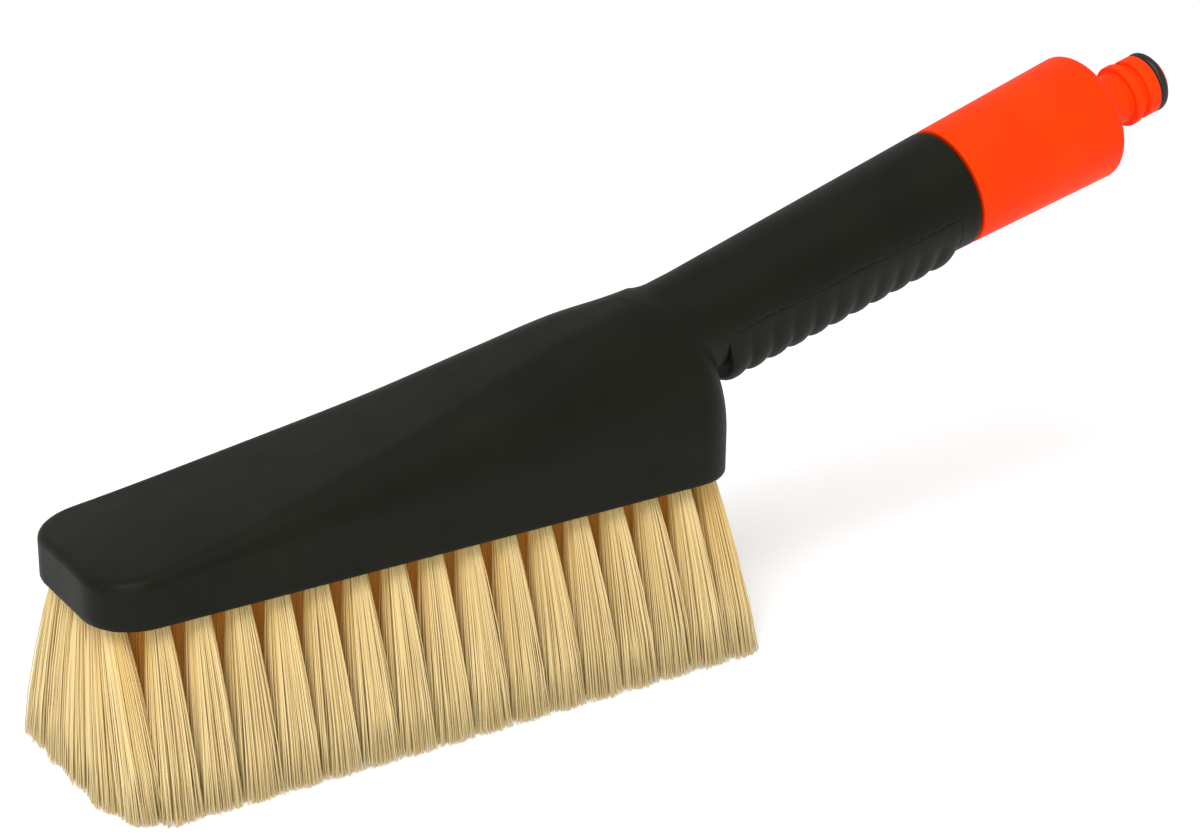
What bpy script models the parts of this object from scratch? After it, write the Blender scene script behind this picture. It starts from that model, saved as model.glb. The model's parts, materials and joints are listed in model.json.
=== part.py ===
"""Wheel brush for car washing, with a water feed through its handle.

Metres, +Z up. The brush stands on its bristle tips: the origin is the middle of the tip face,
+X runs from the nose towards the hose end, and the handle rises from the head at HANDLE_TILT.
Places along the handle are distances S from the point where its axis crosses X = AXIS_START_X.
"""

import math

import bmesh
import bpy
from mathutils import Matrix

# Bristles
TIP_TO_RIM = 0.0465
TUFT_COLUMNS = 17
TUFT_PITCH = 0.010
TUFTS_ACROSS = 5
TUFT_PITCH_ACROSS = 0.008
TUFT_RADIUS = 0.0026
TIP_RADIUS = 0.0047
TIP_RADIUS_ACROSS = 0.0074
SPLAY_NOSE = 0.030
SPLAY_REAR = 0.052
SPLAY_ACROSS = 0.45
TUFT_SIDES = 8
END_ROW_INSET = 0.0006
END_ROW_WIDTH = 0.76

# Head
HEAD_LENGTH = 0.1708
HEAD_WIDTH = 0.0458
NOSE_CORNER = 0.0125
REAR_CORNER = 0.0115
NOSE_RISE = 0.0119
HUMP_RISE = 0.0419
HUMP_X = 0.055
TOP_CURVE = 1.2
NOSE_WALL_RISE = 0.006
REAR_WALL_RISE = 0.011
WALL = 0.0041
RIM_WALL = 0.0018

# Bristle plate and its seal
PLATE_RECESS = 0.0005
PLATE_THICKNESS = 0.006
HOLE_DEPTH = 0.004
OUTLET_RADIUS = 0.0012
OUTLET_PITCH = 0.020
OUTLETS_ALONG = 7
OUTLET_OFFSET = 0.004
SEAL_THICKNESS = 0.001
LEDGE = 0.0018

# Handle
AXIS_START_X = 0.070
AXIS_START_Z = 0.0763
HANDLE_TILT = math.radians(14.95)
NECK_RADIUS = 0.0133
HANDLE_RADIUS = 0.0159
HANDLE_START_S = -0.022
NECK_S = 0.015
SEAM_S = 0.0957
END_ROUND = 0.001
BORE_RADIUS = 0.0100
BORE_START_S = -0.008
SOCKET_RADIUS = 0.0128
SOCKET_S = 0.0610

# Finger grip
GRIP_START_S = 0.0167
GRIP_END_S = 0.0885
RIBS = 11
GRIP_RADIUS = 0.0172
GRIP_OVAL = 1.2
RIB_HEIGHT = 0.0012
CREST_START, CREST_END = 0.35, 0.50
GRIP_DEPTH = 0.0060

# Regulator: collar with a domed end, then the nipple for a hose coupling
SHOULDER_RADIUS = 0.0174
SHOULDER_S = 0.1404
DOME_WIDTH = 0.0119
DOME_HEIGHT = 0.0051
DOME_STEPS = 6
NIPPLE_NECK_RADIUS = 0.0069
FLANGE_RADIUS = 0.0085
FLANGE_START_S, FLANGE_END_S = 0.1543, 0.1568
CATCH_RADIUS = 0.0071
CATCH_END_S = 0.1590
BARREL_RADIUS = 0.0082
LIP_RADIUS = 0.0067
NIPPLE_END_S = 0.1667
WATER_RADIUS = 0.0045
CHAMFER = 0.0004

# Valve: a ported disc on the regulator's stem turns over a ported cartridge
STEM_RADIUS = 0.0094
STEM_START_S = 0.0695
STEM_CUP_RADIUS = 0.0078
STEM_CUP_DEPTH = 0.0065
CARTRIDGE_RADIUS = 0.0125
CARTRIDGE_BORE = 0.0097
CARTRIDGE_START_S = 0.0625
CARTRIDGE_END_S = 0.0935
DISC_THICKNESS = 0.0030
PORT_RADIUS = 0.0030
PORT_OFFSET = 0.0055
STOP_RADIUS = 0.0112
STOP_DEPTH = 0.0022
STOP_WIDTH = 0.0022
LUG_WIDTH = 0.0040
TURN = 90
STOP_LEAD = 20

# Snap ring and its two grooves
SNAP_START_S, SNAP_END_S = 0.0875, 0.0893
SNAP_GROOVE = 0.0010
SNAP_SPLIT = 0.0030

# O-rings: distance S, ring radius, thickness radius, and the groove's bottom radius
CARTRIDGE_RING_S, CARTRIDGE_RING = 0.0730, (0.0119, 0.0007, 0.0109)
STEM_RING_S, STEM_RING = 0.0803, (0.0089, 0.00065, 0.0081)
NIPPLE_RING_S, NIPPLE_RING = 0.1646, (0.0072, 0.0010, 0.0059)

GAP = 0.0003
MERGE = 0.0001
RIM_Z = TIP_TO_RIM
PLATE_Z = RIM_Z + PLATE_RECESS
PLATE_TOP = PLATE_Z + PLATE_THICKNESS
LEDGE_Z = PLATE_TOP + SEAL_THICKNESS + 2 * GAP
SPARE = 0.002


def clear_scene():
    for obj in list(bpy.data.objects):
        bpy.data.objects.remove(obj)


def make_collection(name):
    collection = bpy.data.collections.new(name)
    bpy.context.scene.collection.children.link(collection)
    return collection


def make_material(name, colour, roughness, metallic=0.0):
    material = bpy.data.materials.new(name)
    material.use_nodes = True
    shader = material.node_tree.nodes["Principled BSDF"]
    shader.inputs["Base Color"].default_value = (*colour, 1.0)
    shader.inputs["Roughness"].default_value = roughness
    shader.inputs["Metallic"].default_value = metallic
    return material


clear_scene()
PARTS = make_collection("wheel_brush")
CUTTERS = make_collection("cutters")
BLACK = make_material("black_plastic", (0.020, 0.020, 0.016), 0.55)
SOFT_BLACK = make_material("grip_rubber", (0.009, 0.009, 0.008), 0.75)
ORANGE = make_material("orange_plastic", (0.95, 0.070, 0.002), 0.38)
CREAM = make_material("bristle_fibre", (0.74, 0.56, 0.27), 0.55)
GREY = make_material("valve_plastic", (0.16, 0.16, 0.16), 0.50)
SEAL = make_material("seal_rubber", (0.012, 0.010, 0.010), 0.60)


# Helpers


def add_object(name, mesh, material=None, parent=None):
    """A part when it has a material, and otherwise a cutter."""
    obj = bpy.data.objects.new(name, mesh)
    (PARTS if material else CUTTERS).objects.link(obj)
    if material:
        mesh.materials.append(material)
    else:
        obj.hide_render = True
        obj.display_type = "WIRE"
    obj.parent = parent
    return obj


def mesh_from(name, form):
    mesh = bpy.data.meshes.new(name)
    form.to_mesh(mesh)
    form.free()
    return mesh


def boolean(obj, cutter, operation):
    modifier = obj.modifiers.new(f"{operation.lower()} {cutter.name}", "BOOLEAN")
    modifier.operation = operation
    modifier.solver = "EXACT"
    modifier.object = cutter


def turned(name, profile, material=None, parent=None, steps=28):
    """A profile of (radius, height) about local Z, from the top down its outer side."""
    form = bmesh.new()
    points = [form.verts.new((radius, 0, height)) for radius, height in profile]
    for first, second in zip(points, points[1:] + points[:1]):
        if first.co.x > 0 or second.co.x > 0:
            form.edges.new((first, second))
    obj = add_object(name, mesh_from(name, form), material, parent)
    screw = obj.modifiers.new("turn", "SCREW")
    screw.steps = steps
    screw.render_steps = steps
    screw.use_smooth_shade = True
    screw.use_merge_vertices = True
    screw.merge_threshold = MERGE
    return obj


def round_ring(name, ring, height, parent, sides=8):
    """An O-ring of (ring radius, thickness radius, ...) at a height on the parent's axis."""
    major, minor = ring[:2]
    turns = [-2 * math.pi * i / sides for i in range(sides)]
    profile = [(major + minor * math.cos(turn), height + minor * math.sin(turn)) for turn in turns]
    return turned(name, profile, SEAL, parent, steps=20)


def box_form(low, high):
    size = [high[i] - low[i] for i in range(3)]
    middle = [(high[i] + low[i]) / 2 for i in range(3)]
    form = bmesh.new()
    bmesh.ops.create_cube(form, size=1.0, matrix=Matrix.Translation(middle) @ Matrix.Diagonal((*size, 1)))
    return form


def box(name, low, high, parent=None):
    return add_object(name, mesh_from(name, box_form(low, high)), parent=parent)


def plan_box(name, inset, bottom, top, material=None):
    """A box with the head's rounded plan, set in from its outline."""
    x, y = HEAD_LENGTH / 2 - inset, HEAD_WIDTH / 2 - inset
    form = box_form((-x, -y, bottom), (x, y, top))
    for side, corner in ((-1, NOSE_CORNER), (1, REAR_CORNER)):
        edges = [e for e in form.edges if all(v.co.x * side > x - MERGE for v in e.verts)]
        upright = [e for e in edges if abs(e.verts[0].co.y - e.verts[1].co.y) < MERGE]
        bmesh.ops.bevel(form, geom=upright, offset=corner - inset, segments=5, affect="EDGES", profile=0.5)
    return add_object(name, mesh_from(name, form), material)


def pins(name, places, radius, bottom, top, sides=TUFT_SIDES, parent=None):
    """Upright round pins in one mesh, at the given (x, y) places."""
    form = bmesh.new()
    for x, y in places:
        at = Matrix.Translation((x, y, (bottom + top) / 2))
        bmesh.ops.create_cone(
            form, cap_ends=True, segments=sides, radius1=radius, radius2=radius, depth=top - bottom, matrix=at
        )
    return add_object(name, mesh_from(name, form), parent=parent)


# Head and handle


def plan_half_width(x, inset):
    """Half the head's width at x, with its four corners rounded in plan."""
    corner = (NOSE_CORNER if x < 0 else REAR_CORNER) - inset
    end = HEAD_LENGTH / 2 - inset
    into = max(0.0, abs(x) - (end - corner))
    return HEAD_WIDTH / 2 - inset - corner + math.sqrt(max(0.0, corner**2 - into**2))


def head_section(x, inset, bottom):
    """One closed section across the head: upright walls, then a crowned top."""
    along = min(1.0, (x + HEAD_LENGTH / 2) / (HUMP_X + HEAD_LENGTH / 2))
    top = RIM_Z + NOSE_RISE + (HUMP_RISE - NOSE_RISE) * along**TOP_CURVE - inset
    wall = RIM_Z + NOSE_WALL_RISE + (REAR_WALL_RISE - NOSE_WALL_RISE) * along
    wall = max(wall, bottom + 0.001)
    squareness = 2 / (3.4 - 1.4 * along)
    half = plan_half_width(x, inset)
    arch = 12
    ring = [(x, half, bottom)]
    for i in range(arch + 1):
        turn = math.pi * i / arch
        across = math.copysign(abs(math.cos(turn)) ** squareness, math.cos(turn))
        ring.append((x, half * across, wall + (top - wall) * math.sin(turn) ** squareness))
    ring.append((x, -half, bottom))
    return ring


def head_loft(name, inset, bottom, material=None):
    """The head's form lofted along X, with closer sections round the plan's corners."""
    end = HEAD_LENGTH / 2 - inset
    stations = []
    for side, corner in ((-1, NOSE_CORNER - inset), (1, REAR_CORNER - inset)):
        arc = [end - corner * (1 - math.sin(math.pi / 2 * i / 4)) for i in range(5)]
        stations += [side * x for x in arc]
    inner = end - NOSE_CORNER
    stations += [-inner + 2 * inner * i / 8 for i in range(1, 8)]
    form = bmesh.new()
    rings = [[form.verts.new(p) for p in head_section(x, inset, bottom)] for x in sorted(stations)]
    for first, second in zip(rings, rings[1:]):
        for i in range(len(first)):
            j = (i + 1) % len(first)
            form.faces.new((first[i], first[j], second[j], second[i]))
    form.faces.new(list(reversed(rings[0])))
    form.faces.new(rings[-1])
    bmesh.ops.recalc_face_normals(form, faces=form.faces)
    return add_object(name, mesh_from(name, form), material)


def axis_empty(name, s):
    """An empty on the handle's axis, its local Z along the handle towards the hose end."""
    empty = bpy.data.objects.new(name, None)
    PARTS.objects.link(empty)
    x = AXIS_START_X + s * math.cos(HANDLE_TILT)
    z = AXIS_START_Z + s * math.sin(HANDLE_TILT)
    empty.location = (x, 0, z)
    empty.rotation_euler = (0, math.pi / 2 - HANDLE_TILT, 0)
    return empty


def make_body(handle):
    """Head and handle are one hollow moulding, open below for the plate and behind for the valve."""
    body = head_loft("brush_body", 0, RIM_Z, BLACK)
    end = SEAM_S - GAP
    profile = [(0, end), (HANDLE_RADIUS - END_ROUND, end), (HANDLE_RADIUS, end - END_ROUND)]
    profile += [(NECK_RADIUS, NECK_S), (NECK_RADIUS - END_ROUND, HANDLE_START_S), (0, HANDLE_START_S)]
    boolean(body, turned("handle_tube", profile, parent=handle), "UNION")
    boolean(body, plan_box("plate_pocket", RIM_WALL, RIM_Z - SPARE, LEDGE_Z), "DIFFERENCE")
    boolean(body, head_loft("water_chamber", WALL, LEDGE_Z - SPARE / 2), "DIFFERENCE")
    bore = [(0, SEAM_S + SPARE), (SOCKET_RADIUS, SEAM_S + SPARE), (SOCKET_RADIUS, SOCKET_S)]
    bore += [(BORE_RADIUS, SOCKET_S), (BORE_RADIUS, BORE_START_S), (0, BORE_START_S)]
    boolean(body, turned("handle_bore", bore, parent=handle), "DIFFERENCE")


def make_grip(handle):
    """A soft ribbed pad under the handle: a ribbed oval, from which the handle is cut away."""
    pitch = (GRIP_END_S - GRIP_START_S) / RIBS
    side = GRIP_RADIUS / GRIP_OVAL
    crest = side + RIB_HEIGHT / GRIP_OVAL
    profile = [(0, GRIP_END_S), (side, GRIP_END_S)]
    for i in reversed(range(RIBS)):
        start = GRIP_START_S + i * pitch
        profile += [(crest, start + part * pitch) for part in (CREST_END, CREST_START)]
        profile.append((side, start))
    profile.append((0, GRIP_START_S))
    grip = turned("finger_grip", profile, SOFT_BLACK, handle)
    grip.scale.x = GRIP_OVAL
    reach = GRIP_RADIUS + RIB_HEIGHT + SPARE
    keep = box("grip_outline", (GRIP_DEPTH, -reach, 0), (reach, reach, SEAM_S), handle)
    boolean(grip, keep, "INTERSECT")
    bed = [(0, SEAM_S), (HANDLE_RADIUS + GAP, SEAM_S), (NECK_RADIUS + GAP, NECK_S), (0, NECK_S)]
    boolean(grip, turned("grip_bed", bed, parent=handle), "DIFFERENCE")


# Bristle plate and bristles


def row_place(i):
    """A crosswise row's place along X and its width at the plate: the end rows clear the corners."""
    if abs(i) < TUFT_COLUMNS // 2:
        return i * TUFT_PITCH, 1.0
    return math.copysign(abs(i) * TUFT_PITCH - END_ROW_INSET, i), END_ROW_WIDTH


def tuft_places():
    half = TUFT_COLUMNS // 2
    across = TUFTS_ACROSS // 2
    rows = [row_place(i) for i in range(-half, half + 1)]
    return [(x, width * j * TUFT_PITCH_ACROSS) for x, width in rows for j in range(-across, across + 1)]


def make_plate():
    plate = plan_box("bristle_plate", RIM_WALL + GAP, PLATE_Z, PLATE_TOP, BLACK)
    holes = pins("tuft_holes", tuft_places(), TUFT_RADIUS + GAP, PLATE_Z - SPARE, PLATE_Z + HOLE_DEPTH)
    boolean(plate, holes, "DIFFERENCE")
    between = [(i - OUTLETS_ALONG // 2) * OUTLET_PITCH - TUFT_PITCH / 2 for i in range(OUTLETS_ALONG)]
    places = [(x, y) for x in between for y in (-OUTLET_OFFSET, OUTLET_OFFSET)]
    outlets = pins("water_outlets", places, OUTLET_RADIUS, PLATE_Z - SPARE, PLATE_TOP + SPARE, 6)
    boolean(plate, outlets, "DIFFERENCE")


def make_plate_seal():
    bottom = PLATE_TOP + GAP
    seal = plan_box("plate_seal", RIM_WALL + GAP, bottom, bottom + SEAL_THICKNESS, SEAL)
    inside = plan_box("seal_window", RIM_WALL + LEDGE + GAP, bottom - SPARE, bottom + 2 * SPARE)
    boolean(seal, inside, "DIFFERENCE")


def tuft(name, y):
    """One tuft: a straight stem in its hole, then a cone that spreads to the tips."""
    stem_top = PLATE_Z + HOLE_DEPTH - GAP
    form = bmesh.new()
    bmesh.ops.create_cone(
        form, cap_ends=True, segments=TUFT_SIDES, radius1=TUFT_RADIUS, radius2=TUFT_RADIUS,
        depth=stem_top, matrix=Matrix.Translation((0, y, stem_top / 2)),
    )
    whole = form.verts[:] + form.edges[:] + form.faces[:]
    bmesh.ops.bisect_plane(form, geom=whole, plane_co=(0, 0, PLATE_Z), plane_no=(0, 0, 1))
    for vert in form.verts:
        if vert.co.z < PLATE_Z / 2:
            vert.co.x *= TIP_RADIUS / TUFT_RADIUS
            vert.co.y = y * (1 + SPLAY_ACROSS) + (vert.co.y - y) * TIP_RADIUS_ACROSS / TUFT_RADIUS
    return mesh_from(name, form)


def make_tuft_rows():
    """Crosswise rows of tufts that grow into one another towards the tips."""
    across = TUFTS_ACROSS // 2
    row = add_object("tuft_row_form", tuft("tuft_row_form", 0))
    for j in range(1, across + 1):
        for side in (-1, 1):
            name = f"tuft_form_{'left' if side < 0 else 'right'}_{j}"
            boolean(row, add_object(name, tuft(name, side * j * TUFT_PITCH_ACROSS)), "UNION")
    bpy.context.view_layer.update()
    evaluated = row.evaluated_get(bpy.context.evaluated_depsgraph_get())
    form = bpy.data.meshes.new_from_object(evaluated)
    half = TUFT_COLUMNS // 2
    for i in range(-half, half + 1):
        x, width = row_place(i)
        mesh = form.copy()
        for vert in mesh.vertices:
            below = max(0.0, PLATE_Z - vert.co.z) / PLATE_Z
            vert.co.x += (SPLAY_NOSE if x < 0 else SPLAY_REAR) * x * below
            vert.co.y *= width + (1 - width) * below
        obj = add_object(f"tuft_row_{i + half + 1:02d}", mesh, CREAM)
        obj.location.x = x


# Valve and regulator


def groove(radius, bottom, start, end):
    """A square groove in a turned side of that radius, from its high end to its low end."""
    return [(radius, end), (bottom, end), (bottom, start), (radius, start)]


def ring_groove(radius, ring_s, ring):
    """The groove of an O-ring, a gap wider than the ring."""
    _, thickness, bottom = ring
    return groove(radius, bottom, ring_s - thickness - GAP, ring_s + thickness + GAP)


def ports(name, bottom, top, parent):
    """Two round ports, opposite each other, through a disc of the valve."""
    return pins(name, [(-PORT_OFFSET, 0), (PORT_OFFSET, 0)], PORT_RADIUS, bottom, top, 10, parent)


def stop(name, angle, width, bottom, top, parent):
    """A small block at STOP_RADIUS, angle degrees round the axis."""
    low = (STOP_RADIUS - STOP_DEPTH / 2, -width / 2, bottom)
    block = box(name, low, (STOP_RADIUS + STOP_DEPTH / 2, width / 2, top), parent)
    block.rotation_euler.z = math.radians(angle)
    return block


def make_cartridge(handle):
    """The fixed half of the valve: a cup in the handle's socket, with two ports in its floor."""
    floor = CARTRIDGE_START_S + DISC_THICKNESS
    outer = [(CARTRIDGE_RADIUS, CARTRIDGE_END_S)]
    outer += ring_groove(CARTRIDGE_RADIUS, CARTRIDGE_RING_S, CARTRIDGE_RING)
    outer += [(CARTRIDGE_RADIUS, CARTRIDGE_START_S), (0, CARTRIDGE_START_S)]
    inner = [(0, floor), (CARTRIDGE_BORE, floor)]
    inner += reversed(groove(CARTRIDGE_BORE, CARTRIDGE_BORE + SNAP_GROOVE, SNAP_START_S, SNAP_END_S))
    inner += [(CARTRIDGE_BORE, CARTRIDGE_END_S)]
    cartridge = turned("valve_cartridge", outer + inner, GREY, handle, steps=24)
    for name, angle in (("open_stop", -STOP_LEAD), ("shut_stop", TURN + STOP_LEAD)):
        block = stop(name, angle, STOP_WIDTH, CARTRIDGE_END_S - SPARE, SEAM_S - 2 * GAP, handle)
        boolean(cartridge, block, "UNION")
    boolean(cartridge, ports("cartridge_ports", CARTRIDGE_START_S - SPARE, floor + GAP, handle), "DIFFERENCE")
    round_ring("cartridge_o_ring", CARTRIDGE_RING, CARTRIDGE_RING_S, handle)


def regulator_profile():
    """The outer side from the nipple's end to the stem's, then the water bore back up."""
    lip = [(WATER_RADIUS, NIPPLE_END_S), (LIP_RADIUS - CHAMFER, NIPPLE_END_S)]
    lip += [(LIP_RADIUS, NIPPLE_END_S - CHAMFER)]
    barrel = ring_groove(BARREL_RADIUS, NIPPLE_RING_S, NIPPLE_RING)
    barrel[0] = (LIP_RADIUS, barrel[0][1])
    flange = groove(BARREL_RADIUS, CATCH_RADIUS, FLANGE_END_S, CATCH_END_S)
    flange[-1] = (FLANGE_RADIUS, FLANGE_END_S)
    flange += [(FLANGE_RADIUS, FLANGE_START_S), (NIPPLE_NECK_RADIUS, FLANGE_START_S - CHAMFER)]
    reach = math.acos(1 - (SHOULDER_RADIUS - NIPPLE_NECK_RADIUS) / DOME_WIDTH)
    dome = []
    for i in range(DOME_STEPS + 1):
        turn = reach * (1 - i / DOME_STEPS)
        across = DOME_WIDTH * (1 - math.cos(turn))
        dome.append((SHOULDER_RADIUS - across, SHOULDER_S + DOME_HEIGHT * math.sin(turn)))
    start = SEAM_S + GAP
    sleeve = [(HANDLE_RADIUS, start + END_ROUND / 2), (HANDLE_RADIUS - END_ROUND / 2, start)]
    sleeve.append((STEM_RADIUS, start))
    stem = groove(STEM_RADIUS, STEM_RADIUS - SNAP_GROOVE, SNAP_START_S, SNAP_END_S)
    stem += ring_groove(STEM_RADIUS, STEM_RING_S, STEM_RING)
    stem += [(STEM_RADIUS, STEM_START_S), (STEM_CUP_RADIUS, STEM_START_S)]
    stem += [(STEM_CUP_RADIUS, STEM_START_S + STEM_CUP_DEPTH)]
    stem += [(WATER_RADIUS, STEM_START_S + STEM_CUP_DEPTH + STEM_CUP_RADIUS - WATER_RADIUS)]
    return lip + barrel + flange + dome + sleeve + stem


def make_regulator(joint):
    """The orange twist collar, its hose nipple and its hollow stem, in one moulding."""
    profile = [(radius, s - SEAM_S) for radius, s in regulator_profile()]
    regulator = turned("flow_regulator", profile, ORANGE, joint, steps=32)
    lug = stop("stop_lug", 0, LUG_WIDTH, CARTRIDGE_END_S + GAP - SEAM_S, SPARE, joint)
    boolean(regulator, lug, "UNION")
    bottom = CARTRIDGE_START_S + DISC_THICKNESS + GAP - SEAM_S
    top = STEM_START_S - GAP - SEAM_S
    disc_radius = STEM_RADIUS - GAP
    profile = [(0, top), (disc_radius, top), (disc_radius, bottom), (0, bottom)]
    disc = turned("valve_disc", profile, GREY, joint, steps=20)
    boolean(disc, ports("disc_ports", bottom - SPARE, top + SPARE, joint), "DIFFERENCE")
    round_ring("stem_o_ring", STEM_RING, STEM_RING_S - SEAM_S, joint)
    round_ring("nipple_o_ring", NIPPLE_RING, NIPPLE_RING_S - SEAM_S, joint)


def make_snap_ring(handle):
    """A split ring that holds the regulator's stem in the cartridge."""
    inner, outer = STEM_RADIUS - SNAP_GROOVE + GAP, CARTRIDGE_BORE + SNAP_GROOVE - GAP
    bottom, top = SNAP_START_S + GAP, SNAP_END_S - GAP
    profile = [(outer, top), (outer, bottom), (inner, bottom), (inner, top)]
    ring = turned("snap_ring", profile, GREY, handle, steps=24)
    half = SNAP_SPLIT / 2
    split = box("snap_ring_split", (0, -half, bottom - SPARE), (CARTRIDGE_RADIUS, half, top + SPARE), handle)
    boolean(ring, split, "DIFFERENCE")


def main():
    handle = axis_empty("handle_axis", 0)
    joint = axis_empty("regulator_axis", SEAM_S)
    make_body(handle)
    make_grip(handle)
    make_plate()
    make_plate_seal()
    make_tuft_rows()
    make_cartridge(handle)
    make_snap_ring(handle)
    make_regulator(joint)
    bpy.context.view_layer.update()


main()
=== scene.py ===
"""The looks of the wheel brush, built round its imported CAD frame. Metres, +Z up, as in the frame."""

import json
import math

import bpy
import numpy as np
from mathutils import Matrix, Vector


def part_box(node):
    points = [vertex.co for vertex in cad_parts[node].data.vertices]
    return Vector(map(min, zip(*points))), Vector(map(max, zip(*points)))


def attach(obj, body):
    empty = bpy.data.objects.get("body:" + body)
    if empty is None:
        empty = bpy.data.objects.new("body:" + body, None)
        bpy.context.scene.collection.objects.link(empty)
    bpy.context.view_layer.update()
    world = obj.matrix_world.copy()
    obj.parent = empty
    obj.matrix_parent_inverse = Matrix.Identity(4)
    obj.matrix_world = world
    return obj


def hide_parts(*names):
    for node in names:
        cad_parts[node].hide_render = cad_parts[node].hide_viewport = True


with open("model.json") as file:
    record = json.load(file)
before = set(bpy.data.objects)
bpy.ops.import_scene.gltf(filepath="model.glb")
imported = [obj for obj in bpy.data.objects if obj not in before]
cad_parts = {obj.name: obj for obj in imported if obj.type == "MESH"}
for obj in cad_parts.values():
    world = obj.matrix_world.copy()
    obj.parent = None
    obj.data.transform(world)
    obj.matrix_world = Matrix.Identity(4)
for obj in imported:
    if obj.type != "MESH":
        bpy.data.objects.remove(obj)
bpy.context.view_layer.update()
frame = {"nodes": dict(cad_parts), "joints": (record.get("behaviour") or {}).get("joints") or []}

# Places from the frame
PLATE_LOW, PLATE_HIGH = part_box("bristle_plate")
BODY_LOW, BODY_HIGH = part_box("brush_body")
JOINT = frame["joints"][0]
PIVOT = np.array(JOINT["pos_m"], float)
ALONG = np.array(JOINT["axis"], float)
ALONG /= np.linalg.norm(ALONG)

TIPS_LOW = np.array(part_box("tuft_row_01")[0])[:2]
TIPS_HIGH = np.array(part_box("tuft_row_17")[1])[:2]

RIM_Z = BODY_LOW.z
HALF_LENGTH = -BODY_LOW.x
HALF_WIDTH = BODY_HIGH.y
PLATE_Z = PLATE_LOW.z

# Head: shape of the moulding over its plan, by places (X, value) along it
NOSE_CORNER = 0.0125
REAR_CORNER = 0.0115
TOP_LINE = (
    (-0.0854, 0.0584), (-0.060, 0.0622), (-0.030, 0.0680), (0.000, 0.0745),
    (0.030, 0.0824), (0.050, 0.0874), (0.070, 0.0900),
)
SHOULDER_WIDTH = ((-0.0854, 0.0018), (-0.055, 0.0042), (-0.020, 0.0090), (0.030, 0.0170), (0.070, 0.0220))
SHOULDER_DROP = ((-0.0854, 0.0018), (-0.055, 0.0038), (-0.020, 0.0090), (0.030, 0.0200), (0.070, 0.0320))
CROWN = 2.2
RIM_ROUND = 0.0009
WALL = 0.0041
RIM_WALL = 0.0018
SEAL_SPACE = 0.0016

# Handle: distances S along its axis from the seam, where the regulator turns
NECK_S = -0.0807
NECK_RADIUS = 0.0133
HANDLE_RADIUS = 0.0159
HANDLE_START_S = -0.1177
HANDLE_END_S = -0.0003
BORE_RADIUS = 0.0100
BORE_START_S = -0.1037
SOCKET_RADIUS = 0.0128
SOCKET_S = -0.0347
BLEND = 0.003
SEAM_ROUND = 0.0011
HANDLE_START_ROUND = 0.008

# Finger grip: an oval pad under the handle, ribbed across, that runs out up the handle's sides
GRIP_START_S = -0.0790
GRIP_END_S = -0.0072
RIBS = 11
VALLEY_RADIUS = 0.0173
CREST_RADIUS = 0.0185
GRIP_OVAL = 1.2
CREST_START, CREST_END = 0.36, 0.50
GRIP_DEPTH = 0.0010
GRIP_HALF_TURN = math.radians(88)
RIBS_FADE_FROM = math.radians(42)
RIB_FALL = 1.7
RISE_SOFTENING = 0.0003
LEAST_RISE = 0.00004
GRIP_ROUND = 0.0004
# How far the grip laps over the rim of its bed
LIP = 0.0006

# Regulator: radii, and places S, from its shoulder to the nipple's end
SHOULDER_RADIUS = 0.0173
SHOULDER_S = 0.0447
DOME_WIDTH = 0.0119
DOME_HEIGHT = 0.0051
NIPPLE_NECK_RADIUS = 0.0069
FLANGE_RADIUS = 0.0085
FLANGE_START_S, FLANGE_END_S = 0.0586, 0.0611
CATCH_RADIUS = 0.0071
CATCH_END_S = 0.0633
BARREL_RADIUS = 0.0082
GROOVE_RADIUS = 0.0057
GROOVE_START_S, GROOVE_END_S = 0.0672, 0.0702
LIP_RADIUS = 0.0067
NIPPLE_END_S = 0.0709
WATER_RADIUS = 0.0045
# Radii of the ring itself and of its round section
NIPPLE_RING = (0.0069, 0.0014)

# The regulator's stem, inside the handle's end; its grooves as (bottom radius, start S, end S)
STEM_RADIUS = 0.0094
STEM_START_S = -0.0262
STEM_CUP_RADIUS = 0.0078
STEM_CUP_DEPTH = 0.0065
STEM_GROOVES = ((0.0084, -0.0082, -0.0064), (0.0081, -0.0164, -0.0145))

# Bristles: tufts in their holes, and where the filaments have spread to at the tips
TUFT_COLUMNS = 17
TUFT_PITCH = 0.010
TUFTS_ACROSS = 5
TUFT_PITCH_ACROSS = 0.008
TUFT_RADIUS = 0.0025
END_ROW_INSET = 0.0006
END_ROW_WIDTH = 0.76
SPLAY_NOSE = 0.016
SPLAY_REAR = 0.046
SPLAY_ACROSS = 0.46
TIP_HALF_LENGTH = 0.0051
TIP_HALF_WIDTH = 0.0069
TIP_SQUARENESS = 0.75
END_ROW_SQUARENESS = 0.4
# Above 1, the filaments lean out most near the plate and straighten towards their tips
SPREAD = 1.25
# How far the tips of the corner tuft at the nose's near side are drawn in
WORN_CORNER = 0.0030

# Filaments: how many to a tuft, their thickness, and how far each strays from its even place
FILAMENTS = 400
FILAMENT_RADIUS = 0.00019
TAPER = 0.2
THICKNESS_SPREAD = 0.12
ROOT_DEPTH = 0.002
HOLE_SCATTER = 0.03
TIP_SCATTER = 0.0003
BOW_SCATTER = 0.0003
LENGTH_SCATTER = 0.00028
FLOOR_GAP = 0.00005

# Painted shade, amber-brown, standing for the shadow deep among the filaments: how far in from the head's
# edge it starts and grows, and from where in a tuft towards its sides, and how strongly, it shows at least
SHADE_START = 0.0045
SHADE_GROWTH = 0.009
SIDE_START = 0.5
SIDE_SHADE = 0.35

# Mesh fineness
BODY_STEP = 0.0009
GRIP_STEP = 0.0005
SETTLE_ROUNDS = 4
DOME_STEPS = 24
RING_STEPS = 28
# Room in X beyond the middle of the handle's tilted end
END_ROOM = 0.006

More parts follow.
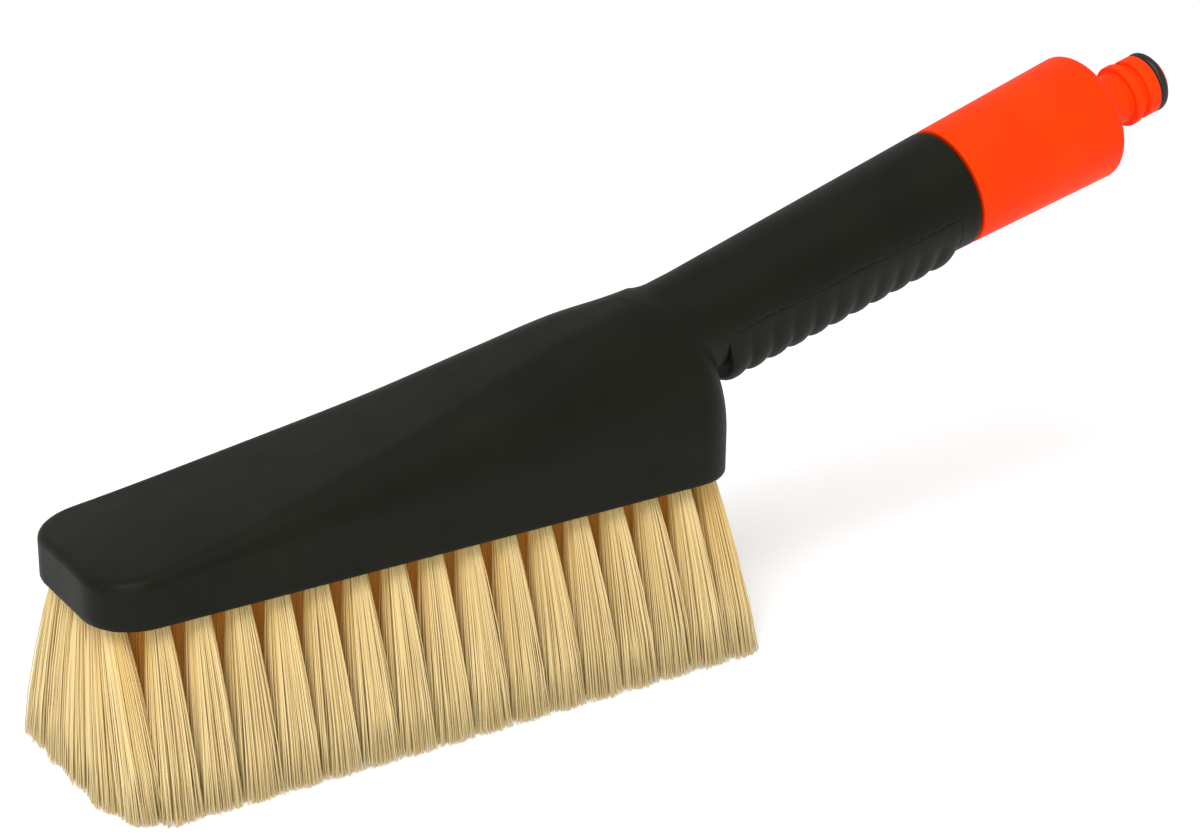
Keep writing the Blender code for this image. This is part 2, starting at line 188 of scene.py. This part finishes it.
# Floor, light and camera
FLOOR_HALF = 6.0
FLOOR_DROP = 0.0002
FLOOR_GLOW = 0.12
SKY_STRENGTH = 0.75
LIGHT_TARGET = (0.05, 0, 0.05)
CAMERA_AZIMUTH = math.radians(32.96)
CAMERA_ELEVATION = math.radians(23.72)
CAMERA_ROLL = math.radians(0.86)
CAMERA_TARGET = (0.0578, 0, 0.0599)
CAMERA_DISTANCE = 0.7672
CAMERA_LENS = 93.57


# Fields: negative inside, near to metres of distance at the surface


def smooth_line(x, points):
    """A smooth curve through points, level with its ends beyond them."""
    xs, ys = (np.array(column, float) for column in zip(*points))
    slopes = np.gradient(ys, xs)
    i = np.clip(np.searchsorted(xs, x) - 1, 0, len(xs) - 2)
    span = xs[i + 1] - xs[i]
    t = np.clip((x - xs[i]) / span, 0, 1)
    return (
        (2 * t**3 - 3 * t**2 + 1) * ys[i]
        + (t**3 - 2 * t**2 + t) * span * slopes[i]
        + (3 * t**2 - 2 * t**3) * ys[i + 1]
        + (t**3 - t**2) * span * slopes[i + 1]
    )


def rounded_both(a, b, radius_a, radius_b=None):
    """Inside both a and b, with an elliptical edge of those radii where they meet."""
    radius_b = radius_a if radius_b is None else radius_b
    into_a = np.maximum(1 + a / radius_a, 0)
    into_b = np.maximum(1 + b / radius_b, 0)
    edge = (np.hypot(into_a, into_b) - 1) * np.minimum(radius_a, radius_b)
    return np.where((into_a > 0) & (into_b > 0), edge, np.maximum(a, b))


def blended(a, b, width):
    """Inside a or b, with a fillet of about that width between them."""
    near = np.maximum(width - np.abs(a - b), 0) / width
    return np.minimum(a, b) - near**2 * width / 4


def plan_field(x, y, inset=0.0):
    """The head's outline seen from above: a rectangle with rounded corners."""
    corner = np.where(x < 0, NOSE_CORNER, REAR_CORNER) - inset
    over_x = np.abs(x) - (HALF_LENGTH - inset - corner)
    over_y = np.abs(y) - (HALF_WIDTH - inset - corner)
    outside = np.hypot(np.maximum(over_x, 0), np.maximum(over_y, 0))
    return outside + np.minimum(np.maximum(over_x, over_y), 0) - corner


def head_form(x, y, z, inset=0.0):
    """The head's outer form without its underside, or the same form set in from it."""
    top = z - smooth_line(x, TOP_LINE) + CROWN * y**2 + inset
    width, drop = smooth_line(x, SHOULDER_WIDTH), smooth_line(x, SHOULDER_DROP)
    return rounded_both(plan_field(x, y, inset), top, width, drop)


def head_field(x, y, z):
    return rounded_both(head_form(x, y, z), RIM_Z - z, RIM_ROUND)


def handle_place(x, y, z):
    """(s along the axis, distance from it, angle from the underside)."""
    dx, dz = x - PIVOT[0], z - PIVOT[2]
    s = dx * ALONG[0] + dz * ALONG[2]
    up = dz * ALONG[0] - dx * ALONG[2]
    return s, np.hypot(y, up), np.arctan2(np.abs(y), -up)


def handle_radius(s):
    return NECK_RADIUS + (HANDLE_RADIUS - NECK_RADIUS) * np.clip((s - NECK_S) / -NECK_S, 0, 1)


def handle_field(x, y, z):
    s, out, _ = handle_place(x, y, z)
    tube = rounded_both(out - handle_radius(s), s - HANDLE_END_S, SEAM_ROUND)
    return rounded_both(tube, HANDLE_START_S - s, HANDLE_START_ROUND)


def hollow_field(x, y, z):
    """The pocket for the plate, the water chamber above it and the handle's bore."""
    pocket = np.maximum(plan_field(x, y, RIM_WALL), z - PLATE_HIGH.z - SEAL_SPACE)
    s, out, _ = handle_place(x, y, z)
    bore = np.maximum(out - np.where(s > SOCKET_S, SOCKET_RADIUS, BORE_RADIUS), BORE_START_S - s)
    return np.minimum(np.minimum(pocket, head_form(x, y, z, WALL)), bore)


def grip_bed(s, out, turn, inset=0.0):
    """The shallow bed in the handle's underside that holds the soft grip."""
    ends = np.maximum(GRIP_START_S - s, s - GRIP_END_S)
    sides = (turn - GRIP_HALF_TURN) * out
    return np.maximum(np.maximum(ends, sides) + inset, handle_radius(s) - GRIP_DEPTH - out)


def body_field(x, y, z):
    outer = blended(head_field(x, y, z), handle_field(x, y, z), BLEND)
    bed = grip_bed(*handle_place(x, y, z), inset=LIP)
    return np.maximum(np.maximum(outer, -hollow_field(x, y, z)), -bed)


def rib_form(s):
    """0 in the grooves and 1 on the crests: each rib rises steeply, then falls slowly to the next groove."""
    at = (s - GRIP_START_S) / (GRIP_END_S - GRIP_START_S) * RIBS
    within = at - np.floor(at)
    rise = 1 - (1 - np.clip(within / CREST_START, 0, 1)) ** 2
    fall = 1 - np.clip((within - CREST_END) / (1 - CREST_END), 0, 1) ** RIB_FALL
    return np.minimum(rise, fall)


def grip_rise(s, turn):
    """How far the grip stands above the handle's round: an oval that fades out up the sides."""
    low = VALLEY_RADIUS + (CREST_RADIUS - VALLEY_RADIUS) * rib_form(s)
    oval = low / np.hypot(np.cos(turn), GRIP_OVAL * np.sin(turn))
    above = oval - handle_radius(s)
    above = (above + np.hypot(above, RISE_SOFTENING)) / 2
    fade = np.clip((GRIP_HALF_TURN - turn) / (GRIP_HALF_TURN - RIBS_FADE_FROM), 0, 1)
    return above * fade * fade * (3 - 2 * fade) + LEAST_RISE


def grip_field(x, y, z):
    s, out, turn = handle_place(x, y, z)
    ribbed = out - handle_radius(s) - grip_rise(s, turn)
    return rounded_both(ribbed, grip_bed(s, out, turn), GRIP_ROUND)


# Meshes from fields


def surface_net(name, field, low, high, step):
    """A quad mesh on field = 0: one vertex in each grid cell that the surface crosses."""
    axes = [np.arange(low[i], high[i] + step, step) for i in range(3)]
    grid = np.meshgrid(*axes, indexing="ij")
    value = field(*grid)
    inside = value < 0
    shape = np.array(value.shape)
    strides = np.array([shape[1] * shape[2], shape[2], 1])
    cells, places, quads = [], [], []
    for axis in range(3):
        here = [slice(1, -1)] * 3
        there = [slice(1, -1)] * 3
        here[axis], there[axis] = slice(0, -1), slice(1, None)
        a, b = value[tuple(here)], value[tuple(there)]
        crossed = np.argwhere((a < 0) != (b < 0))
        start = crossed + np.array([0 if i == axis else 1 for i in range(3)])
        fa, fb = a[tuple(crossed.T)], b[tuple(crossed.T)]
        point = np.stack([axes[i][start[:, i]] for i in range(3)], 1)
        point[:, axis] += step * fa / (fa - fb)
        u, v = strides[(axis + 1) % 3], strides[(axis + 2) % 3]
        at = start @ strides
        around = np.stack([at - u - v, at - v, at, at - u], 1)
        flipped = ~inside[tuple(start.T)]
        around[flipped] = around[flipped][:, ::-1]
        quads.append(around)
        for column in around.T:
            cells.append(column)
            places.append(point)
    cells, places, quads = np.concatenate(cells), np.concatenate(places), np.concatenate(quads)
    used, index = np.unique(cells, return_inverse=True)
    count = np.bincount(index)
    points = np.stack([np.bincount(index, places[:, i]) / count for i in range(3)], 1)
    faces = np.searchsorted(used, quads)
    for _ in range(SETTLE_ROUNDS):
        points -= np.clip(newton_step(field, points), -step / 2, step / 2)
    return mesh_object(name, points, faces)


def newton_step(field, points, nudge=2e-5):
    value = field(*points.T)
    ahead = [field(*(points + d).T) for d in np.eye(3) * nudge]
    behind = [field(*(points - d).T) for d in np.eye(3) * nudge]
    slope = (np.stack(ahead, 1) - np.stack(behind, 1)) / (2 * nudge)
    return value[:, None] * slope / np.maximum((slope**2).sum(1), 1e-6)[:, None]


def mesh_object(name, points, faces, smooth=True):
    """A mesh object from arrays of points and of equal-sided faces."""
    mesh = bpy.data.meshes.new(name)
    sides = faces.shape[1]
    mesh.vertices.add(len(points))
    mesh.vertices.foreach_set("co", np.asarray(points, np.float32).ravel())
    mesh.loops.add(faces.size)
    mesh.loops.foreach_set("vertex_index", faces.astype(np.int32).ravel())
    mesh.polygons.add(len(faces))
    mesh.polygons.foreach_set("loop_start", np.arange(0, faces.size, sides, dtype=np.int32))
    mesh.update(calc_edges=True)
    mesh.polygons.foreach_set("use_smooth", np.full(len(faces), smooth))
    obj = bpy.data.objects.new(name, mesh)
    bpy.context.scene.collection.objects.link(obj)
    return obj


# Turned pieces


def filleted(corners):
    """A profile of (radius, s, fillet) corners as points, each corner rounded by its fillet."""
    points = []
    count = len(corners)
    for i, (radius, s, fillet) in enumerate(corners):
        here = np.array([radius, s])
        if not fillet:
            points.append(here)
            continue
        before = np.array(corners[i - 1][:2]) - here
        after = np.array(corners[(i + 1) % count][:2]) - here
        a, b = before / np.linalg.norm(before), after / np.linalg.norm(after)
        half = math.acos(np.clip(a @ b, -1, 1)) / 2
        reach = min(fillet / math.tan(half), 0.49 * np.linalg.norm(before), 0.49 * np.linalg.norm(after))
        size = reach * math.tan(half)
        centre = here + (a + b) / np.linalg.norm(a + b) * size / math.sin(half)
        start, end = here + a * reach - centre, here + b * reach - centre
        sweep = math.pi - 2 * half
        steps = max(2, int(math.degrees(sweep) / 9))
        for k in range(steps + 1):
            from_start, to_end = math.sin(sweep * (1 - k / steps)), math.sin(sweep * k / steps)
            points.append(centre + (from_start * start + to_end * end) / math.sin(sweep))
    return points


def turned(name, profile, steps=128):
    """A closed profile of (radius, s) points turned about the handle's axis, outward faces first."""
    profile = np.array(profile)
    angles = np.linspace(0, 2 * math.pi, steps, endpoint=False)
    across = np.array([0.0, 1.0, 0.0])
    up = np.cross(ALONG, across)
    rim = np.cos(angles)[:, None] * across + np.sin(angles)[:, None] * up
    points = PIVOT + profile[None, :, 1:2] * ALONG + profile[None, :, 0:1] * rim[:, None, :]
    count = len(profile)
    i, j = np.meshgrid(np.arange(steps), np.arange(count), indexing="ij")
    i2, j2 = (i + 1) % steps, (j + 1) % count
    faces = np.stack([i * count + j, i * count + j2, i2 * count + j2, i2 * count + j], -1).reshape(-1, 4)
    obj = mesh_object(name, points.reshape(-1, 3), faces)
    obj.data.set_sharp_from_angle(angle=math.radians(40))
    return obj


# Materials


def new_material(name, colour, roughness, specular=0.5):
    material = bpy.data.materials.new(name)
    material.use_nodes = True
    nodes = material.node_tree.nodes
    shader = nodes["Principled BSDF"]
    shader.inputs["Base Color"].default_value = (*colour, 1)
    shader.inputs["Roughness"].default_value = roughness
    shader.inputs["Specular IOR Level"].default_value = specular
    return material, nodes, material.node_tree.links, shader


def noise(nodes, links, scale, detail):
    place = nodes.new("ShaderNodeTexCoord")
    texture = nodes.new("ShaderNodeTexNoise")
    texture.inputs["Scale"].default_value = scale
    texture.inputs["Detail"].default_value = detail
    links.new(place.outputs["Object"], texture.inputs["Vector"])
    return texture.outputs["Fac"]


def ramp(nodes, links, value, stops):
    node = nodes.new("ShaderNodeValToRGB")
    elements = node.color_ramp.elements
    while len(elements) < len(stops):
        elements.new(0.5)
    for element, (position, colour) in zip(elements, stops):
        element.position = position
        element.color = (*colour, 1)
    links.new(value, node.inputs["Fac"])
    return node.outputs["Color"]


def spread(nodes, links, value, low, high):
    """A 0 to 1 value mapped to low to high."""
    node = nodes.new("ShaderNodeMapRange")
    node.inputs["To Min"].default_value = low
    node.inputs["To Max"].default_value = high
    links.new(value, node.inputs["Value"])
    return node.outputs["Result"]


def bump(nodes, links, shader, height, distance):
    node = nodes.new("ShaderNodeBump")
    node.inputs["Strength"].default_value = 1.0
    node.inputs["Distance"].default_value = distance
    links.new(height, node.inputs["Height"])
    links.new(node.outputs["Normal"], shader.inputs["Normal"])


def moulded(name, dark, light, roughness, specular, grain, depth):
    """Moulded plastic or rubber: a fine grain, and slow changes of tone and gloss."""
    material, nodes, links, shader = new_material(name, dark, roughness, specular)
    tone = noise(nodes, links, 45, 4)
    links.new(ramp(nodes, links, tone, ((0.30, dark), (0.72, light))), shader.inputs["Base Color"])
    gloss = spread(nodes, links, noise(nodes, links, 160, 3), roughness - 0.07, roughness + 0.07)
    links.new(gloss, shader.inputs["Roughness"])
    bump(nodes, links, shader, noise(nodes, links, grain, 2), depth)
    return material


def bristle_material():
    """Blond filaments, each its own tone, with painted shade: amber-brown deep among them near the plate,
    and a painted amber glow there too.
    """
    material, nodes, links, shader = new_material("bristle_fibre", (0.80, 0.66, 0.38), 0.5, 0.3)
    geometry = nodes.new("ShaderNodeNewGeometry")
    tones = ((0.0, (0.66, 0.50, 0.21)), (0.4, (0.73, 0.57, 0.27)), (1.0, (0.80, 0.65, 0.34)))
    own = ramp(nodes, links, geometry.outputs["Random Per Island"], tones)
    place = nodes.new("ShaderNodeSeparateXYZ")
    links.new(geometry.outputs["Position"], place.inputs["Vector"])
    # Painted shade: it grows from low in the filaments up to the plate, and with how deep a filament stands
    # in the brush
    height = nodes.new("ShaderNodeMapRange")
    height.interpolation_type = "SMOOTHSTEP"
    height.inputs["From Min"].default_value = 0.08 * PLATE_Z
    height.inputs["From Max"].default_value = PLATE_Z
    links.new(place.outputs["Z"], height.inputs["Value"])
    painted_shade = nodes.new("ShaderNodeAttribute")
    painted_shade.attribute_name = "painted_shade"
    shade = nodes.new("ShaderNodeMath")
    shade.operation = "MULTIPLY"
    links.new(height.outputs["Result"], shade.inputs[0])
    links.new(spread(nodes, links, painted_shade.outputs["Fac"], 0.08, 1.0), shade.inputs[1])
    painted_shade_tints = ((0.0, (1.0, 1.0, 1.0)), (0.4, (0.95, 0.84, 0.60)), (1.0, (0.86, 0.47, 0.13)))
    painted_shade_tint = ramp(nodes, links, shade.outputs["Value"], painted_shade_tints)
    mix = nodes.new("ShaderNodeMix")
    mix.data_type = "RGBA"
    mix.blend_type = "MULTIPLY"
    mix.inputs["Factor"].default_value = 1.0
    links.new(own, mix.inputs["A"])
    links.new(painted_shade_tint, mix.inputs["B"])
    links.new(mix.outputs["Result"], shader.inputs["Base Color"])
    shader.inputs["Sheen Weight"].default_value = 0.1
    # Painted glow: the shaded filaments also emit a faint amber light, standing in for light shining through
    # the bristles
    painted_glow = ramp(nodes, links, shade.outputs["Value"], ((0.0, (0.0, 0.0, 0.0)), (1.0, (0.23, 0.100, 0.014))))
    links.new(painted_glow, shader.inputs["Emission Color"])
    shader.inputs["Emission Strength"].default_value = 0.35
    return material


BLACK = moulded(
    "black_plastic", (0.0044, 0.0049, 0.0022), (0.0070, 0.0075, 0.0038),
    roughness=0.52, specular=0.11, grain=2600, depth=0.00003,
)
SOFT_BLACK = moulded(
    "grip_rubber", (0.0046, 0.0050, 0.0028), (0.0070, 0.0074, 0.0045),
    roughness=0.54, specular=0.13, grain=3200, depth=0.00002,
)
ORANGE = moulded(
    "orange_plastic", (0.84, 0.034, 0.0004), (0.92, 0.044, 0.0006),
    roughness=0.50, specular=0.06, grain=2600, depth=0.00001,
)
VALVE_GREY = moulded(
    "valve_plastic", (0.15, 0.15, 0.15), (0.19, 0.19, 0.19),
    roughness=0.5, specular=0.4, grain=2400, depth=0.00001,
)
SEAL = moulded(
    "seal_rubber", (0.006, 0.004, 0.004), (0.011, 0.008, 0.008),
    roughness=0.45, specular=0.35, grain=3000, depth=0.00001,
)
FIBRE = bristle_material()


def finish_piece(obj, material, body, slot, *nodes):
    obj.data.materials.clear()
    obj.data.materials.append(material)
    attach(obj, body)
    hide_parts(*nodes)
    return obj


# Pieces


def make_body():
    margin = 3 * BODY_STEP
    end = PIVOT + ALONG * HANDLE_END_S
    low = (-HALF_LENGTH - margin, -HALF_WIDTH - margin, RIM_Z - margin)
    high = (end[0] + END_ROOM + margin, HALF_WIDTH + margin, end[2] + HANDLE_RADIUS + margin)
    body = surface_net("brush_body_shell", body_field, low, high, BODY_STEP)
    finish_piece(body, BLACK, "brush", "black_plastic", "brush_body")


def make_grip():
    ends = [PIVOT + ALONG * s for s in (GRIP_START_S, GRIP_END_S)]
    reach = CREST_RADIUS + 3 * GRIP_STEP
    low, high = np.min(ends, 0) - reach, np.max(ends, 0) + reach
    grip = surface_net("finger_grip_ribs", grip_field, low, high, GRIP_STEP)
    finish_piece(grip, SOFT_BLACK, "brush", "grip_rubber", "finger_grip")


def dome_corners():
    """The regulator's domed end, from the nipple's neck out to the shoulder."""
    reach = math.acos(1 - (SHOULDER_RADIUS - NIPPLE_NECK_RADIUS) / DOME_WIDTH)
    corners = []
    for turn in np.linspace(reach, 0, DOME_STEPS):
        radius = SHOULDER_RADIUS - DOME_WIDTH * (1 - math.cos(turn))
        corners.append((radius, SHOULDER_S + DOME_HEIGHT * math.sin(turn), 0.0))
    corners[0] = (NIPPLE_NECK_RADIUS, corners[0][1], 0.0012)
    return corners


def stem_corners():
    """The regulator's stem in the handle, with its snap ring's and O-ring's grooves, and its cup."""
    corners = [(STEM_RADIUS, -HANDLE_END_S, 0.0)]
    for bottom, start, end in STEM_GROOVES:
        corners += [(STEM_RADIUS, end, 0.0), (bottom, end, 0.0)]
        corners += [(bottom, start, 0.0), (STEM_RADIUS, start, 0.0)]
    cup_top = STEM_START_S + STEM_CUP_DEPTH
    corners += [(STEM_RADIUS, STEM_START_S, 0.0002), (STEM_CUP_RADIUS, STEM_START_S, 0.0)]
    corners += [(STEM_CUP_RADIUS, cup_top, 0.0)]
    corners += [(WATER_RADIUS, cup_top + STEM_CUP_RADIUS - WATER_RADIUS, 0.0003)]
    return corners


def make_regulator():
    corners = [
        (WATER_RADIUS, NIPPLE_END_S, 0.0003), (LIP_RADIUS, NIPPLE_END_S, 0.0004),
        (LIP_RADIUS, GROOVE_END_S, 0.0), (GROOVE_RADIUS, GROOVE_END_S, 0.0),
        (GROOVE_RADIUS, GROOVE_START_S, 0.0), (BARREL_RADIUS, GROOVE_START_S, 0.0003),
        (BARREL_RADIUS, CATCH_END_S, 0.0003), (CATCH_RADIUS, CATCH_END_S, 0.0002),
        (CATCH_RADIUS, FLANGE_END_S, 0.0002), (FLANGE_RADIUS, FLANGE_END_S, 0.0004),
        (FLANGE_RADIUS, FLANGE_START_S, 0.0005), (NIPPLE_NECK_RADIUS, FLANGE_START_S, 0.0004),
    ]
    corners += dome_corners()
    corners += [(HANDLE_RADIUS, -HANDLE_END_S, 0.0005)] + stem_corners()
    body = turned("regulator_body", filleted(corners))
    finish_piece(body, ORANGE, "regulator", "orange_plastic", "flow_regulator")
    major, minor = NIPPLE_RING
    middle = (GROOVE_START_S + GROOVE_END_S) / 2
    turns = np.linspace(0, -2 * math.pi, RING_STEPS, endpoint=False)
    ring = [(major + minor * math.cos(turn), middle + minor * math.sin(turn)) for turn in turns]
    finish_piece(turned("nipple_seal", ring), SEAL, "regulator", "seal_rubber", "nipple_o_ring")


def make_bristles():
    """Every tuft as its own filaments, one piece to each crosswise row."""
    chance = np.random.default_rng(17)
    half = TUFT_COLUMNS // 2
    across = TUFTS_ACROSS // 2
    for place in range(-half, half + 1):
        end_row = abs(place) == half
        x = place * TUFT_PITCH - (math.copysign(END_ROW_INSET, place) if end_row else 0)
        tip_x = x * (1 + (SPLAY_NOSE if x < 0 else SPLAY_REAR))
        points, faces, painted_shades = [], [], []
        for j in range(-across, across + 1):
            y = j * TUFT_PITCH_ACROSS
            stem = (x, y * (END_ROW_WIDTH if end_row else 1))
            tip = np.array((tip_x, y * (1 + SPLAY_ACROSS)))
            if (place, j) == (-half, -across):
                tip += WORN_CORNER
            tuft, sides, depth = tuft_filaments(chance, stem, tip, end_row)
            faces.append(sides + sum(len(part) for part in points))
            points.append(tuft)
            painted_shades.append(depth)
        node = f"tuft_row_{place + half + 1:02d}"
        row = mesh_object(f"{node}_fibres", np.concatenate(points), np.concatenate(faces))
        # Each filament's painted shade, kept on its points for the bristle material
        painted_shade = row.data.attributes.new("painted_shade", "FLOAT", "POINT")
        painted_shade.data.foreach_set("value", np.concatenate(painted_shades).astype(np.float32))
        finish_piece(row, FIBRE, "brush", "bristle_fibre", node)


def tuft_filaments(chance, stem, tip, end_row, levels=5, sides=4):
    """(points, faces, painted shade by how far inside the brush) of one tuft's filaments, which fan out from
    its hole.
    """
    order = np.arange(FILAMENTS) + 0.5
    turn = order * math.pi * (3 - math.sqrt(5))
    out = np.sqrt(order / FILAMENTS)
    disc = np.stack([out * np.cos(turn), out * np.sin(turn)], 1)
    disc += chance.normal(0, HOLE_SCATTER, disc.shape)
    disc /= np.maximum(np.hypot(*disc.T), 1)[:, None]
    squared = np.hypot(*disc.T) / np.abs(disc).max(1)
    squareness = END_ROW_SQUARENESS if end_row else TIP_SQUARENESS
    cell = disc * (1 - squareness + squareness * squared)[:, None]
    start = np.array(stem) + disc * (TUFT_RADIUS - FILAMENT_RADIUS)
    end = tip + cell * (TIP_HALF_LENGTH, TIP_HALF_WIDTH) + chance.normal(0, TIP_SCATTER, disc.shape)
    end = np.clip(end, TIPS_LOW + FILAMENT_RADIUS, TIPS_HIGH - FILAMENT_RADIUS)
    lowest = np.abs(chance.normal(0, LENGTH_SCATTER, FILAMENTS)) + FLOOR_GAP
    bow = chance.normal(0, BOW_SCATTER, (FILAMENTS, 2))
    t = np.linspace(0, 1, levels)[None, :, None]
    gone = 1 - (1 - t) ** SPREAD
    path = start[:, None] * (1 - gone) + end[:, None] * gone + bow[:, None] * np.sin(math.pi * t)
    top = PLATE_Z + ROOT_DEPTH
    height = top - (top - lowest[:, None]) * t[..., 0]
    thickness = chance.uniform(1 - THICKNESS_SPREAD, 1 + THICKNESS_SPREAD, (FILAMENTS, 1))
    radius = FILAMENT_RADIUS * (1 - TAPER * t[..., 0]) * thickness
    angles = np.linspace(0, 2 * math.pi, sides, endpoint=False)
    ring = np.stack([np.cos(angles), np.sin(angles)], 1)
    points = np.empty((FILAMENTS, levels, sides, 3))
    points[..., :2] = path[:, :, None] + radius[:, :, None, None] * ring
    points[..., 2] = height[:, :, None]
    base = (np.arange(FILAMENTS) * levels * sides)[:, None, None]
    level = (np.arange(levels - 1) * sides)[None, :, None]
    a = np.arange(sides)[None, None, :]
    b = (a + 1) % sides
    upper, lower = base + level, base + level + sides
    walls = np.stack([upper + a, lower + a, lower + b, upper + b], -1)
    top_cap = base[..., 0] + np.arange(sides)
    tip_cap = base[..., 0] + (levels - 1) * sides + np.arange(sides)[::-1]
    faces = np.concatenate([walls.reshape(-1, 4), top_cap, tip_cap])
    # Painted shade: darker the farther a filament starts in from the head's edge, and at least some at a
    # tuft's sides, where neighbouring tufts shade it
    from_edge = np.minimum(HALF_LENGTH - np.abs(start[:, 0]), HALF_WIDTH - np.abs(start[:, 1]))
    depth = np.clip((from_edge - SHADE_START) / SHADE_GROWTH, 0, 1)
    side = np.abs(disc[:, 1 if end_row else 0])
    painted_side_shade = np.clip((side - SIDE_START) / (1 - SIDE_START), 0, 1)
    depth = np.maximum(depth, SIDE_SHADE * painted_side_shade)
    return points.reshape(-1, 3), faces, np.repeat(depth, levels * sides)


def dress_cad_nodes():
    """The pieces that keep their CAD form take the finished materials."""
    finishes = {"bristle_plate": BLACK, "plate_seal": SEAL, "cartridge_o_ring": SEAL, "stem_o_ring": SEAL}
    finishes |= {"valve_cartridge": VALVE_GREY, "valve_disc": VALVE_GREY, "snap_ring": VALVE_GREY}
    for node, material in finishes.items():
        slots = frame["nodes"][node].material_slots
        for slot in slots:
            slot.link = "OBJECT"
            slot.material = material


# Floor, light and camera


def make_stage():
    corners = FLOOR_HALF * np.array([(-1, -1, 0), (1, -1, 0), (1, 1, 0), (-1, 1, 0)])
    floor = mesh_object("floor", corners - (0, 0, FLOOR_DROP), np.array([[0, 1, 2, 3]]), smooth=False)
    material, _, _, shader = new_material("pale_floor", (0.93, 0.93, 0.93), 0.9, 0.1)
    shader.inputs["Emission Color"].default_value = (1, 1, 1, 1)
    shader.inputs["Emission Strength"].default_value = FLOOR_GLOW
    floor.data.materials.append(material)


def add_light(name, place, size, power):
    light = bpy.data.lights.new(name, "AREA")
    light.shape = "DISK"
    light.size = size
    light.energy = power
    obj = bpy.data.objects.new(name, light)
    bpy.context.scene.collection.objects.link(obj)
    obj.location = place
    obj.rotation_mode = "QUATERNION"
    obj.rotation_quaternion = (Vector(LIGHT_TARGET) - Vector(place)).to_track_quat("-Z", "Y")


def make_light():
    world = bpy.data.worlds.new("studio")
    world.use_nodes = True
    background = world.node_tree.nodes["Background"]
    background.inputs["Color"].default_value = (1, 1, 1, 1)
    background.inputs["Strength"].default_value = SKY_STRENGTH
    bpy.context.scene.world = world
    add_light("key", (-0.5, -0.5, 1.3), size=0.9, power=13)
    add_light("fill", (-0.9, -1.0, 0.35), size=0.8, power=4)


def make_camera():
    level = math.cos(CAMERA_ELEVATION)
    ahead = math.cos(CAMERA_AZIMUTH) * level
    look = Vector((math.sin(CAMERA_AZIMUTH) * level, ahead, -math.sin(CAMERA_ELEVATION)))
    data = bpy.data.cameras.new("camera")
    data.sensor_width = 36.0
    data.lens = CAMERA_LENS
    data.clip_start = 0.01
    camera = bpy.data.objects.new("camera", data)
    bpy.context.scene.collection.objects.link(camera)
    camera.location = Vector(CAMERA_TARGET) - look * CAMERA_DISTANCE
    camera.rotation_euler = look.to_track_quat("-Z", "Y").to_euler()
    camera.rotation_euler.rotate_axis("Z", CAMERA_ROLL)
    bpy.context.scene.camera = camera


bpy.context.scene.view_settings.view_transform = "Standard"
make_camera()
make_body()
make_grip()
make_regulator()
make_bristles()
dress_cad_nodes()
make_stage()
make_light()
